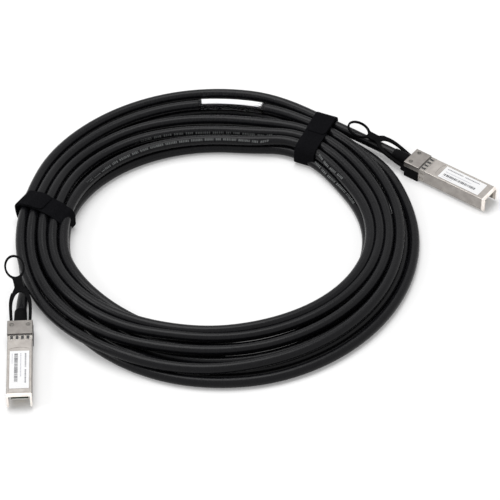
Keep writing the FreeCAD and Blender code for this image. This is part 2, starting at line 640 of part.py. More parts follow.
def oval_ring(name):
    """The coil's outer shape: an oval outline less an oval opening, softly rounded."""
    plates = []
    for kind, height in (("outer", "2 * cable_diameter"), ("inner", "2 * cable_diameter + 10")):
        rim = doc.addObject("Part::Ellipse", name + "_" + kind + "_rim")
        sideways = NUMBER[kind + "_half_y"] > NUMBER[kind + "_half_x"]
        long_half, short_half = ("y", "x") if sideways else ("x", "y")
        bind(rim, MajorRadius=kind + "_half_" + long_half, MinorRadius=kind + "_half_" + short_half)
        rotation = FreeCAD.Rotation(UP, 90 if sideways else 0)
        put(rim, "coil_x + %s_shift_x" % kind, "coil_y + %s_shift_y" % kind,
            "0" if kind == "outer" else "-5", rotation)
        plate = doc.addObject("Part::Extrusion", name + "_" + kind)
        plate.Base = rim
        plate.DirMode = "Custom"
        plate.Dir = UP
        plate.Solid = True
        bind(plate, LengthFwd=height)
        plates.append(plate)
    ring = cut(name + "_ring", *plates)
    wide = 2 * min(NUMBER["outer_half_x"], NUMBER["outer_half_y"]) - 1
    shoulder = rounded(name + "_shoulder", ring, "coil_shoulder",
                       lambda b: b.ZMin > 1 and b.XLength > wide)
    return rounded(name + "_round", shoulder, "coil_round",
                   lambda b: b.ZLength < 0.01 and (b.XLength < wide - 30 or b.ZMax < 1))


def at_strap(thing, side):
    """Turns a strap's piece round to its place on the coil."""
    angle = "strap_%s_angle" % side
    radius = "strap_%s_radius" % side
    thing.Placement = FreeCAD.Placement(Vector(), FreeCAD.Rotation(UP, 45))
    bind(thing, **{"Placement.Rotation.Angle": "strap_%s_turn" % side})
    return put(thing, "coil_x + %s * cos(%s * 1deg)" % (radius, angle),
               "coil_y + %s * sin(%s * 1deg)" % (radius, angle))


def bundle_block(name, grow="0", lowest="strap_thickness"):
    """The rounded block of cable that a strap grips, grown outwards by grow."""
    half = "(bundle_width / 2 + %s)" % grow
    top = "(strap_thickness + bundle_height + %s)" % grow
    block = box(name + "_block", ("-" + half, half), across("strap_width"), (lowest, top))
    doc.recompute()
    fillet = doc.addObject("Part::Fillet", name)
    fillet.Base = block
    size = worth("bundle_round + " + grow)
    edges = enumerate(block.Shape.Edges, start=1)
    fillet.Edges = [(n, size, size) for n, e in edges if e.BoundBox.YLength > 1]
    return fillet


def strap(side):
    """A strap that goes once round the bundle, its free end lying back over the top."""
    name = "strap_" + side
    band = bundle_block(name + "_band", "strap_thickness", "0")
    wide = bundle_block(name + "_wide", "strap_thickness + flap_thickness", "-flap_thickness")
    window = box(name + "_window", ("0", "bundle_width"), across("strap_width + 2"),
                 ("bundle_round + strap_thickness + 1", "40"))
    flap = doc.addObject("Part::MultiCommon", name + "_flap")
    flap.Shapes = [wide, window]
    grip = bundle_block(name + "_grip")
    whole = cut(name + "_whole", fuse(name + "_outer", band, flap), grip)
    at_strap(node(name, whole), side)


def strap_channel(name, side):
    """What a strap presses clear of the coil: all that is outside its grip."""
    reach = "(bundle_width / 2 + 16)"
    slab = box(name + "_slab", ("-" + reach, reach), across("strap_width"), ("-5", "30"))
    return at_strap(cut(name, slab, bundle_block(name + "_grip")), side)


def arc_tube(name, radius, length):
    """A stretch of round bar that follows the labelled turn of the coil."""
    sweep = "(%s / sleeve_path * 180 / pi)" % length
    bar = doc.addObject("Part::Torus", name)
    bind(bar, Radius1="sleeve_path", Radius2=radius, Angle3=sweep)
    bar.Placement = FreeCAD.Placement(Vector(), FreeCAD.Rotation(UP, 45))
    bind(bar, **{"Placement.Rotation.Angle": "sleeve_angle - %s / 2" % sweep})
    return put(bar, "coil_x", "coil_y", "sleeve_height")


def coil():
    """The wound cable as one solid, with room for the straps and the sleeve."""
    name = "coil"
    grips = [at_strap(bundle_block(name + "_grip_" + side), side) for side in ("left", "right")]
    wound = fuse(name + "_wound", oval_ring(name), *grips, refine=False)
    channels = [strap_channel(name + "_channel_" + side, side) for side in ("left", "right")]
    around = cut(name + "_around_strand", arc_tube(name + "_sleeve", "sleeve_radius", "sleeve_length"),
                 arc_tube(name + "_strand", "cable_diameter / 2", "sleeve_length"))
    node("cable_coil", cut(name + "_solid", wound, around, *channels, refine=False))


def sleeve():
    """Clear sleeve round one turn, and the printed wrap that it covers."""
    node("label_sleeve", cut("sleeve_tube", arc_tube("sleeve_outside", "sleeve_radius", "sleeve_length"),
                             arc_tube("sleeve_inside", "sleeve_bore", "sleeve_length")))
    node("wrap_label", cut("wrap_tube", arc_tube("wrap_outside", "wrap_radius", "wrap_length"),
                           arc_tube("wrap_inside", "cable_diameter / 2", "wrap_length")))


# ---- build, check and write ----------------------------------------------------------

plug("a", "tab_lift_a")
plug("b", "tab_lift_b")
tube("cable_tail_a", TAIL_A, NUMBER["cable_diameter"])
tube("cable_tail_b", TAIL_B, NUMBER["cable_diameter"])
coil()
strap("left")
strap("right")
sleeve()
doc.recompute()

for thing in doc.Objects:
    if {"Invalid", "Error"} & set(thing.State):
        raise RuntimeError("%s failed: %s" % (thing.Name, thing.State))
os.makedirs("parts", exist_ok=True)
for part in nodes:
    if part.Shape.isNull() or not part.Shape.isValid() or not part.Shape.Solids:
        raise RuntimeError("%s has no valid solid" % part.Label)
    part.Shape.exportStep(os.path.join("parts", part.Label + ".step"))
doc.removeObject(spare.Name)
print("%d sub-parts written" % len(nodes))
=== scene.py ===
import json
import math
import random

import bmesh
import bpy
from mathutils import Matrix, Vector


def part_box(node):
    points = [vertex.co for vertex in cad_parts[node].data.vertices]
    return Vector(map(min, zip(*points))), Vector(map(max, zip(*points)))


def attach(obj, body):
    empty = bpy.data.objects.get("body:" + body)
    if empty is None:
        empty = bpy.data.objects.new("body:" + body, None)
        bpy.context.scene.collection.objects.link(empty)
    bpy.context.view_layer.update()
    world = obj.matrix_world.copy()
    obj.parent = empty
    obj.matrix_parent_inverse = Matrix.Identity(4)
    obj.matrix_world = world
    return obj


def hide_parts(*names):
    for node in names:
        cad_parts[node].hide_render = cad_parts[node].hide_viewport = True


# Direct attach copper cable: two pluggable plugs, a coil of twinax cable, two
# hook-and-loop straps and a clear sleeve over a label. Sizes are in millimetres and
# angles in degrees; the helpers hand Blender metres and radians.

MM = 0.001
LATCH_PIVOT = 11.6      # from a plug's rear edge forward to the latch's axis
random.seed(5)

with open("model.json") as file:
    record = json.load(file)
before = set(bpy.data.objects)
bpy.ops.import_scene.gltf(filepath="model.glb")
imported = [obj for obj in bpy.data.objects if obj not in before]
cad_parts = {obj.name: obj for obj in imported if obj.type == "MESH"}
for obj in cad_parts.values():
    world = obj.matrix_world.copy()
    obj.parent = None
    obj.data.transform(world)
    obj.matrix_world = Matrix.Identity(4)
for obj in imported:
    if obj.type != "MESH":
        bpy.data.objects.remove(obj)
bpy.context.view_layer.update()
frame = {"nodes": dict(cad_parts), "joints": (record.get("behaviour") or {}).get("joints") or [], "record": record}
JOINTS = {joint["name"]: joint for joint in frame["joints"]}


# ---- curves and meshes ------------------------------------------------------------

def smooth(share):
    """Rises from 0 to 1 with level ends."""
    share = min(max(share, 0.0), 1.0)
    return share * share * (3 - 2 * share)


def link(thing):
    """Puts an object in the scene."""
    bpy.context.scene.collection.objects.link(thing)
    return thing


def spline(name, points, radius):
    """A round bar along one smooth NURBS curve whose control points these are."""
    data = bpy.data.curves.new(name, "CURVE")
    data.dimensions = "3D"
    data.resolution_u = 6
    data.bevel_depth = radius * MM
    data.bevel_resolution = 4
    data.use_fill_caps = True
    line = data.splines.new("NURBS")
    line.points.add(len(points) - 1)
    for knot, place in zip(line.points, points):
        knot.co = (place[0] * MM, place[1] * MM, place[2] * MM, 1)
    line.order_u = 3
    line.use_endpoint_u = True
    return link(bpy.data.objects.new(name, data))


def mesh_piece(name, verts, faces, shade=True):
    """A mesh from corners in millimetres."""
    mesh = bpy.data.meshes.new(name)
    mesh.from_pydata([(x * MM, y * MM, z * MM) for x, y, z in verts], [], faces)
    mesh.update()
    for face in mesh.polygons:
        face.use_smooth = shade
    return link(bpy.data.objects.new(name, mesh))


def plug_frame(tag):
    """The middle of a plug's rear edge on the floor, its forward and its left direction."""
    ahead = -Vector(JOINTS["plug_%s_pull" % tag]["axis"])
    pivot = Vector(JOINTS["plug_%s_latch_tilt" % tag]["pos_m"]) / MM
    rear = pivot - LATCH_PIVOT * ahead
    rear.z = 0.0
    return rear, ahead, Vector((-ahead.y, ahead.x, 0.0))


# ---- materials ----------------------------------------------------------------------

class Look:
    """A node material built up step by step."""

    def __init__(self, name):
        self.made = bpy.data.materials.new(name)
        self.made.use_nodes = True
        self.nodes = self.made.node_tree.nodes
        self.links = self.made.node_tree.links
        self.shader = self.nodes["Principled BSDF"]
        self.place = self.nodes.new("ShaderNodeTexCoord").outputs["Object"]

    def set(self, **values):
        """Sets plain values on the shader's own sockets."""
        for key, value in values.items():
            self.shader.inputs[key.replace("_", " ")].default_value = value
        return self

    def noise(self, scale, detail=3.0, stretch=None):
        """Noise with the given number of cells to a metre."""
        node = self.nodes.new("ShaderNodeTexNoise")
        node.inputs["Scale"].default_value = scale
        node.inputs["Detail"].default_value = detail
        source = self.place
        if stretch:
            mapping = self.nodes.new("ShaderNodeMapping")
            mapping.inputs["Scale"].default_value = stretch
            self.links.new(source, mapping.inputs["Vector"])
            source = mapping.outputs["Vector"]
        self.links.new(source, node.inputs["Vector"])
        return node.outputs["Fac"]

    def between(self, factor, low, high, start=0.3, end=0.7):
        """Maps a factor from start to end onto a value from low to high."""
        node = self.nodes.new("ShaderNodeMapRange")
        node.inputs["From Min"].default_value = start
        node.inputs["From Max"].default_value = end
        node.inputs["To Min"].default_value = low
        node.inputs["To Max"].default_value = high
        self.links.new(factor, node.inputs["Value"])
        return node.outputs["Result"]

    def tint(self, factor, dark, light, start=0.3, end=0.7):
        """Colours the surface between two colours by a factor."""
        ramp = self.nodes.new("ShaderNodeValToRGB")
        ramp.color_ramp.elements[0].position = start
        ramp.color_ramp.elements[0].color = dark + (1,)
        ramp.color_ramp.elements[1].position = end
        ramp.color_ramp.elements[1].color = light + (1,)
        self.links.new(factor, ramp.inputs["Fac"])
        self.links.new(ramp.outputs["Color"], self.shader.inputs["Base Color"])
        return self

    def along(self, tag, stops):
        """Makes the colour lighter or darker by the distance from a plug's rear edge: painted shade and painted
        highlight.
        """
        rear, ahead = plug_frame(tag)[:2]
        strength = max(factor for place, factor in stops)
        reach = stops[-1][0]
        dot = self.nodes.new("ShaderNodeVectorMath")
        dot.operation = "DOT_PRODUCT"
        dot.inputs[1].default_value = ahead
        self.links.new(self.place, dot.inputs[0])
        offset = rear.dot(ahead) * MM
        share = self.nodes.new("ShaderNodeMapRange")
        share.inputs["From Min"].default_value = offset
        share.inputs["From Max"].default_value = offset + reach * MM
        self.links.new(dot.outputs["Value"], share.inputs["Value"])
        ramp = self.nodes.new("ShaderNodeValToRGB")
        while len(ramp.color_ramp.elements) < len(stops):
            ramp.color_ramp.elements.new(0.5)
        for stop, (place, factor) in zip(ramp.color_ramp.elements, stops):
            stop.position = place / reach
            stop.color = (factor / strength,) * 3 + (1,)
        self.links.new(share.outputs["Result"], ramp.inputs["Fac"])
        colour = self.shader.inputs["Base Color"].links[0].from_socket
        brighter = self.nodes.new("ShaderNodeVectorMath")
        brighter.operation = "SCALE"
        brighter.inputs["Scale"].default_value = strength
        self.links.new(ramp.outputs["Color"], brighter.inputs[0])
        product = self.nodes.new("ShaderNodeVectorMath")
        product.operation = "MULTIPLY"
        self.links.new(colour, product.inputs[0])
        self.links.new(brighter.outputs["Vector"], product.inputs[1])
        self.links.new(product.outputs["Vector"], self.shader.inputs["Base Color"])
        return self

    def drive(self, socket, output):
        """Lets a node's output drive one of the shader's sockets."""
        self.links.new(output, self.shader.inputs[socket])
        return self

    def relief(self, height, distance, strength=1.0, edge=None):
        """Bumps the surface, over softened edges if a radius in millimetres is given."""
        bump = self.nodes.new("ShaderNodeBump")
        bump.inputs["Distance"].default_value = distance * MM
        bump.inputs["Strength"].default_value = strength
        self.links.new(height, bump.inputs["Height"])
        if edge:
            bevel = self.nodes.new("ShaderNodeBevel")
            bevel.samples = 6
            bevel.inputs["Radius"].default_value = edge * MM
            self.links.new(bevel.outputs["Normal"], bump.inputs["Normal"])
        self.links.new(bump.outputs["Normal"], self.shader.inputs["Normal"])
        return self


# Painted light on the shells, a lighter or darker copy for each plug: how light its head (painted shade), body and
# nose (painted highlight) are, and where each ends.
SHELL_PAINTED_LIGHT = {"a": (0.64, 1.0, 3.2), "b": (0.8, 1.15, 3.2)}
HEAD_END, BODY_START, BODY_END, NOSE_START, NOSE_END = 10.1, 10.3, 53.4, 53.9, 55.5


def make_looks():
    """Every material, by the name of the slot or detail that it is for."""
    looks = {}

    for tag in "ab":
        cast = Look("cast_zinc_painted_light_" + tag).set(Metallic=1.0)
        cast.tint(cast.noise(260, 5), (0.27, 0.25, 0.235), (0.34, 0.32, 0.3))
        # Painted shade darkens each head and a painted highlight brightens each nose.
        head, body, nose = SHELL_PAINTED_LIGHT[tag]
        cast.along(tag, ((0.0, head), (HEAD_END, head), (BODY_START, body), (BODY_END, body),
                         (NOSE_START, nose), (NOSE_END, nose)))
        cast.drive("Roughness", cast.between(cast.noise(900, 4), 0.34, 0.5))
        looks["cast_shell_" + tag] = cast.relief(cast.noise(5200, 3), 0.02, 0.5, edge=0.18)

    collar = Look("collar_steel").set(Metallic=1.0)
    collar.tint(collar.noise(500, 3, (1, 1, 6)), (0.3, 0.28, 0.26), (0.42, 0.4, 0.37))
    collar.drive("Roughness", collar.between(collar.noise(1500, 3), 0.2, 0.34))
    looks["spring_steel"] = collar.relief(collar.noise(3000), 0.008, 0.4, edge=0.08)

    rivet = Look("rivet_steel").set(Metallic=1.0)
    rivet.tint(rivet.noise(2600, 4), (0.05, 0.047, 0.044), (0.2, 0.19, 0.175))
    looks["rivet"] = rivet.drive("Roughness", rivet.between(rivet.noise(1500), 0.3, 0.5))

    plastic = Look("moulded_black").set(Specular_IOR_Level=0.025)
    plastic.tint(plastic.noise(700, 4), (0.003, 0.003, 0.0034), (0.006, 0.006, 0.0066))
    plastic.drive("Roughness", plastic.between(plastic.noise(1800, 3), 0.36, 0.52))
    looks["black_plastic"] = plastic.relief(plastic.noise(6500, 2), 0.02, 0.45, edge=0.25)

    for tag in "ab":
        card = Look("card_green_" + tag).set(Roughness=0.35)
        card.tint(card.noise(1200, 2, (1, 8, 1)), (0.02, 0.09, 0.045), (0.03, 0.13, 0.06))
        looks["card_" + tag] = card.relief(card.noise(2500, 2, (1, 9, 1)), 0.02, 0.4)

    bare = Look("bare_edge").set(Roughness=0.5)
    looks["bare_edge"] = bare.tint(bare.noise(3000, 3, (1, 1, 5)),
                                   (0.62, 0.61, 0.57), (0.78, 0.77, 0.73))

    # The chip's black, also used for the collar's painted shadow.
    chip = Look("chip_black").set(Roughness=0.55)
    chip.tint(chip.noise(2500), (0.012, 0.012, 0.013), (0.02, 0.02, 0.021))
    looks["chip"] = chip.relief(chip.noise(9000), 0.01, 0.5, edge=0.06)

    gold = Look("contact_gold").set(Metallic=1.0)
    gold.tint(gold.noise(1200), (0.78, 0.5, 0.17), (0.9, 0.6, 0.24))
    looks["gold"] = gold.drive("Roughness", gold.between(gold.noise(3000), 0.18, 0.32))

    foil = Look("shield_foil").set(Metallic=1.0)
    foil.tint(foil.noise(800, 4), (0.62, 0.62, 0.63), (0.8, 0.8, 0.81))
    foil.drive("Roughness", foil.between(foil.noise(2500), 0.18, 0.4))
    looks["foil"] = foil.relief(foil.noise(2200, 5), 0.06, 0.7)

    crimp = Look("crimp_brass").set(Metallic=1.0)
    crimp.tint(crimp.noise(900), (0.5, 0.44, 0.33), (0.62, 0.55, 0.42))
    looks["crimp"] = crimp.drive("Roughness", crimp.between(crimp.noise(2500), 0.25, 0.42))

    rubber = Look("boot_rubber").set(Specular_IOR_Level=0.025)
    rubber.tint(rubber.noise(900, 4), (0.003, 0.003, 0.0034), (0.006, 0.006, 0.0066))
    rubber.drive("Roughness", rubber.between(rubber.noise(1600), 0.5, 0.66))
    looks["black_rubber"] = rubber.relief(rubber.noise(7000, 2), 0.02, 0.5, edge=0.2)

    paper = Look("label_paper").set(Specular_IOR_Level=0.3)
    paper.tint(paper.noise(1400, 5), (0.83, 0.83, 0.84), (0.9, 0.9, 0.9))
    paper.drive("Roughness", paper.between(paper.noise(3000), 0.42, 0.6))
    looks["paper"] = paper.relief(paper.noise(9000, 2), 0.006, 0.4)

    jacket = Look("jacket_pvc").set(Specular_IOR_Level=0.15)
    jacket.tint(jacket.noise(420, 5), (0.0035, 0.0035, 0.0043), (0.006, 0.006, 0.0072))
    jacket.drive("Roughness", jacket.between(jacket.noise(1100, 4), 0.22, 0.34))
    looks["jacket"] = jacket.relief(jacket.noise(4200, 3), 0.025, 0.5)

    cloth = Look("hook_and_loop").set(Roughness=0.92, Specular_IOR_Level=0.02)
    cloth.tint(cloth.noise(2600, 5), (0.0025, 0.0025, 0.003), (0.009, 0.009, 0.0105))
    looks["hook_and_loop"] = cloth.relief(cloth.noise(3400, 4), 0.28, 0.9)

    film = Look("clear_film").set(Roughness=0.06, IOR=1.16, Transmission_Weight=1.0)
    film.tint(film.noise(600), (0.97, 0.97, 0.97), (1.0, 1.0, 1.0))
    looks["clear_film"] = film.relief(film.noise(700, 2), 0.05, 0.3)

    ink = Look("label_ink").set(Roughness=0.6)
    looks["ink"] = ink.tint(ink.noise(4000), (0.06, 0.06, 0.07), (0.12, 0.12, 0.13))

    pale = Look("pale_ink").set(Roughness=0.6)
    looks["pale_ink"] = pale.tint(pale.noise(4000), (0.42, 0.42, 0.47), (0.55, 0.55, 0.6))

    grey = Look("grey_ink").set(Roughness=0.6)
    looks["grey_ink"] = grey.tint(grey.noise(4000), (0.16, 0.16, 0.18), (0.26, 0.26, 0.28))

    print_ink = Look("jacket_print").set(Roughness=0.6)
    looks["jacket_print"] = print_ink.tint(print_ink.noise(6000), (0.05, 0.055, 0.055),
                                           (0.13, 0.135, 0.135))
    return {name: look.made for name, look in looks.items()}


LOOKS = make_looks()


def dress(piece, look):
    """Gives a piece its look."""
    piece.data.materials.append(LOOKS[look])
    return piece


def node_look(name, slot):
    """The look of a CAD node: mostly that of its slot, but the shells, whose painted shade and highlight differ
    from plug to plug, and the cards are per plug.
    """
    if name.endswith("_rivets"):
        return LOOKS["rivet"]
    if slot in ("cast_shell", "card"):
        tag = name.split("_")[1]
        return LOOKS[slot + "_" + tag]
    return LOOKS[slot]


def paint_nodes():
    """Puts a look on every slot of every CAD node."""
    for part in frame["record"]["subparts"]:
        thing = frame["nodes"][part["node"]]
        look = node_look(part["node"], part["material_slot"])
        if not thing.material_slots:
            thing.data.materials.append(look)
        for slot in thing.material_slots:
            slot.material = look


# ---- the cable ------------------------------------------------------------------------

CABLE = 6.1
HALF = CABLE / 2

# The coil's middle, and the ovals of its outside and its opening: each one's half
# sizes along x and y, and how far it is shifted along them.
COIL_X, COIL_Y = -24.8, 20.1
OUTER = (113.3, 118.9, 1.3, 1.7)
INNER = (83.3, 76.3, 0.9, -1.4)

# The winding: five lower turns from the outside in, then the upper turns back out.
# Each turn changes lane in its last fifth.
START_ANGLE = 197.0
LOW_TURNS = 5
UPPER_TURNS = 4.345
LAST_LANE = 4
CROSS_FROM = 0.8
POINTS_PER_TURN = 24
LEAST_RISE = 0.55       # of an upper turn over the lower ones, in diameters
CLIMB_IN = 1.4          # how far inwards the turn that climbs a layer swings
NURBS_PULL = 0.9915     # a round spline's size over that of its control points

# The straps' directions from the coil's middle and their distances from it, how much
# they lift the turns, and how much higher still the left one's upper turns arch.
LEFT_STRAP, RIGHT_STRAP = 169.5, 53.3
LEFT_MIDDLE, RIGHT_MIDDLE = 96.7, 99.0
STRAP_LIFT = 1.0
STRAP_ARCH = {"left": 2.0, "right": 0.0}

# Under the right strap: how far inwards of its middle the lower and the upper turns are
# gathered, and how far outwards of it the outermost upper turn may lie.
LOWER_SET_IN, UPPER_SET_IN, FURTHEST_OUT = 0.95, 4.0, 14.3

# The labelled stretch of one upper turn.
SLEEVE_ANGLE, SLEEVE_PATH, SLEEVE_HEIGHT = 85.0, 109.2, 9.0
SLEEVE_TURN = 3

# How far round from a strap or the sleeve, in degrees, the turns are held, and where
# they are free again.
LEFT_GRIP, RIGHT_GRIP, RISE, SLEEVE_HOLD = (4, 19), (4, 18), (6, 26), (13, 24)
STRAP_CALM, SLEEVE_CALM = (8, 24), (14, 30)

# The cable's own route between each plug and the coil.
TAIL_A = [(-129.78, -57.39, 5.75), (-130.5, -43.0, 5.75), (-130.4, -31.0, 4.7),
          (-129.5, -21.5, 3.3)]
TAIL_B = [(43.9, 111.2, 9.15), (70.11, 96.08, 5.75), (92.62, 79.42, 5.75)]

# Where the five turns of a layer lie across the coil in some directions, from the
# outside, 0, to the inside, 1.
UPPER_LANES = ((-180, (-0.03, 0.2, 0.44, 0.7, 0.96)), (-97, (0.0, 0.19, 0.6, 0.88, 1.02)),
               (-67, (0.0, 0.25, 0.61, 0.9, 1.06)), (0, (0.0, 0.27, 0.51, 0.725, 0.95)),
               (20, (0.0, 0.25, 0.5, 0.73, 0.97)), (90, (-0.03, 0.22, 0.565, 0.82, 1.03)),
               (140, (-0.04, 0.2, 0.39, 0.67, 1.0)), (180, (-0.03, 0.2, 0.44, 0.7, 0.96)))
LOWER_LANES = ((-180, (0.0, 0.25, 0.5, 0.75, 1.0)),
               (-124, (0.03, 0.3, 0.54, 0.75, 1.0)), (-97, (0.05, 0.275, 0.52, 0.79, 1.0)),
               (-67, (0.0, 0.235, 0.51, 0.78, 1.05)), (0, (-0.075, 0.15, 0.43, 0.7, 0.98)),
               (20, (-0.03, 0.19, 0.47, 0.74, 1.0)), (90, (-0.03, 0.23, 0.5, 0.77, 1.03)),
               (180, (0.0, 0.25, 0.5, 0.75, 1.0)))


def turn_gap(angle, other):
    """The angle between two directions, from 0 to 180 degrees."""
    return abs((angle - other + 180) % 360 - 180)


def near(angle, other, reach):
    """1 close to a direction, falling smoothly to 0 further away."""
    inside, outside = reach
    return 1 - smooth((turn_gap(angle, other) - inside) / (outside - inside))


def edge_radius(oval, angle):
    """Distance of an oval's edge from the coil's middle."""
    half_x, half_y, shift_x, shift_y = oval
    x, y = math.cos(math.radians(angle)), math.sin(math.radians(angle))
    return shift_x * x + shift_y * y + 1 / math.hypot(x / half_x, y / half_y)


def lane_share(table, lane, angle):
    """How far across the coil a turn of a layer lies in this direction."""
    low = min(int(lane), LAST_LANE - 1)
    part = lane - low
    angle = (angle + 180) % 360 - 180
    for (start, before), (end, after) in zip(table, table[1:]):
        if start <= angle <= end:
            blend = smooth((angle - start) / (end - start))
            first = before[low] + (after[low] - before[low]) * blend
            second = before[low + 1] + (after[low + 1] - before[low + 1]) * blend
            return first + (second - first) * part
    return lane / LAST_LANE


def radius_at(lane, angle, upper):
    """Distance of a turn from the coil's centre, gathered where a strap grips it."""
    outside = edge_radius(OUTER, angle) - HALF
    inside = edge_radius(INNER, angle) + HALF
    share = lane_share(UPPER_LANES if upper else LOWER_LANES, lane, angle)
    radius = outside - share * (outside - inside)
    gripped = LEFT_MIDDLE + (2 - lane) * CABLE
    radius += near(angle, LEFT_STRAP, LEFT_GRIP) * (gripped - radius)
    gripped = RIGHT_MIDDLE - LOWER_SET_IN + (2 - lane) * CABLE
    if upper:
        gripped = min(RIGHT_MIDDLE - UPPER_SET_IN + (3 - lane) * CABLE,
                      RIGHT_MIDDLE + FURTHEST_OUT)
    return radius + near(angle, RIGHT_STRAP, RIGHT_GRIP) * (gripped - radius)


def lift_at(angle):
    """How far a strap's lower run lifts the turns off the floor."""
    return STRAP_LIFT * max(near(angle, LEFT_STRAP, RISE), near(angle, RIGHT_STRAP, RISE))


def crossing(share):
    """How far a turn has moved into its next lane, after this share of the turn."""
    return smooth((share - CROSS_FROM) / (1 - CROSS_FROM))


def lower_radii(angle, share):
    """Distances of the lower turns from the coil's middle."""
    lanes = [min(turn + crossing(share), LAST_LANE) for turn in range(LOW_TURNS)]
    return [radius_at(lane, angle, False) for lane in lanes]


def upper_height(radius, angle, share):
    """Height of a turn that rests on the lower turns under it."""
    best = 0.0
    for under in lower_radii(angle, share):
        aside = abs(radius - under)
        if aside < CABLE:
            best = max(best, math.sqrt(CABLE ** 2 - aside ** 2))
    return HALF + max(best, LEAST_RISE * CABLE)


def coil_point(turns):
    """The cable's middle after this many turns, counted from the outside at the bottom."""
    share = turns % 1.0
    angle = START_ANGLE - 360 * turns
    wobble = 0.35 * math.sin(2.3 * turns + 1.1) + 0.25 * math.sin(5.1 * turns)
    if turns < LOW_TURNS:
        lane = min(math.floor(turns) + crossing(share), LAST_LANE)
        radius = radius_at(lane, angle, False)
        height = HALF
        if turns > LOW_TURNS - 1:
            rise = crossing(share)
            height += rise * (upper_height(radius, angle, 0.0) - HALF)
            radius -= CLIMB_IN * math.sin(math.pi * rise)
    else:
        layer = turns - LOW_TURNS
        lane = max(LAST_LANE - math.floor(layer) - crossing(share), 0.0)
        radius = radius_at(lane, angle, True)
        height = upper_height(radius, angle, share)
        held = near(angle, LEFT_STRAP, RISE)
        height += STRAP_ARCH["left"] * held * (1 - ((lane - 2) / 2) ** 2)
        if math.floor(layer) == SLEEVE_TURN:
            held = near(angle, SLEEVE_ANGLE, SLEEVE_HOLD)
            radius += held * (SLEEVE_PATH - radius)
            height += held * (SLEEVE_HEIGHT - height)
    calm = max(near(angle, LEFT_STRAP, STRAP_CALM), near(angle, RIGHT_STRAP, STRAP_CALM),
               near(angle, SLEEVE_ANGLE, SLEEVE_CALM))
    radius += wobble * (1 - calm)
    height += lift_at(angle)
    spread = radius / NURBS_PULL
    turn = math.radians(angle)
    return (COIL_X + spread * math.cos(turn), COIL_Y + spread * math.sin(turn), height)


def cable_route():
    """The whole cable's control points, from plug a to plug b."""
    turns = LOW_TURNS + UPPER_TURNS
    count = int(turns * POINTS_PER_TURN)
    wound = [coil_point(turns * i / count) for i in range(count + 1)]
    return TAIL_A + wound + TAIL_B


def curve_length(thing):
    """Length in metres of a curve that has no bevel."""
    mesh = bpy.data.meshes.new_from_object(thing)
    total = sum((mesh.vertices[a].co - mesh.vertices[b].co).length
                for a, b in (edge.vertices for edge in mesh.edges))
    bpy.data.meshes.remove(mesh)
    return total


def make_cable():
    """The cord: one spline that stands for the coil and both tails."""
    cable = spline("cable", cable_route(), HALF)
    bevel = cable.data.bevel_depth
    cable.data.bevel_depth = 0.0
    length = curve_length(cable)
    cable.data.bevel_depth = bevel
    dress(cable, "jacket")
    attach(cable, "cable")
    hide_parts("cable_tail_a", "cable_coil", "cable_tail_b")
    print("cable length %.3f m" % length)


# ---- hook-and-loop straps -----------------------------------------------------------

STRAP_WIDE = 12.7
CLOTH_THICK = 0.9
BUNDLE_WIDE = {"left": 31.0, "right": 34.6}
BUNDLE_HIGH = {"left": 12.2, "right": 11.7}
TOP_BEND, LOW_BEND = 4.0, 3.2
ROUNDED_END = 4.0       # the length of the free end's rounding
ROW_LENGTH = 1.2        # the longest step along a strap
ACROSS = (-1.0, -0.97, -0.6, -0.2, 0.2, 0.6, 0.97, 1.0)


def round_corner(middle_s, middle_z, radius, start, end, steps=7):
    """Points of an arc in a strap's own plane, from one direction to another."""
    turns = [math.radians(start + (end - start) * i / (steps - 1)) for i in range(steps)]
    return [(middle_s + radius * math.cos(a), middle_z + radius * math.sin(a)) for a in turns]


def strap_line(tag):
    """The strap's middle line: over the top, round the outside, under, and back over."""
    low = CLOTH_THICK / 2 + 0.1
    high = STRAP_LIFT + BUNDLE_HIGH[tag] + CLOTH_THICK / 2
    side = (BUNDLE_WIDE[tag] + CLOTH_THICK) / 2
    lap = CLOTH_THICK + 0.05
    top_bend = TOP_BEND + 1
    arch = STRAP_ARCH[tag]
    slope = 0.7 * arch
    line = [(-1.5, high + lap + arch - 0.35), (2.5, high + lap + arch)]
    line += [(side / 2, high + lap + slope)]
    line += round_corner(side + lap - top_bend, high + lap - top_bend, top_bend, 90, 0)
    line += [(side + lap - 0.3, 7.5), (side + 0.6, 6.0)]
    line += round_corner(side - LOW_BEND, low + LOW_BEND, LOW_BEND, 0, -90)
    line += [(side / 3, low), (-side / 3, low)]
    line += round_corner(-side + LOW_BEND, low + LOW_BEND, LOW_BEND, -90, -180)
    line += round_corner(-side + TOP_BEND, high - TOP_BEND, TOP_BEND, 180, 90)
    line += [(-side / 2, high + slope), (0.0, high + arch), (side / 2, high + slope)]
    line += round_corner(side - TOP_BEND, high - TOP_BEND, TOP_BEND, 90, 20, 5)
    return line


def divided(line):
    """The same line with its long steps cut into short ones."""
    fine = []
    for here, there in zip(line, line[1:]):
        gap = math.hypot(there[0] - here[0], there[1] - here[1])
        parts = max(1, int(gap / ROW_LENGTH))
        fine += [(here[0] + (there[0] - here[0]) * i / parts,
                  here[1] + (there[1] - here[1]) * i / parts) for i in range(parts)]
    return fine + [line[-1]]


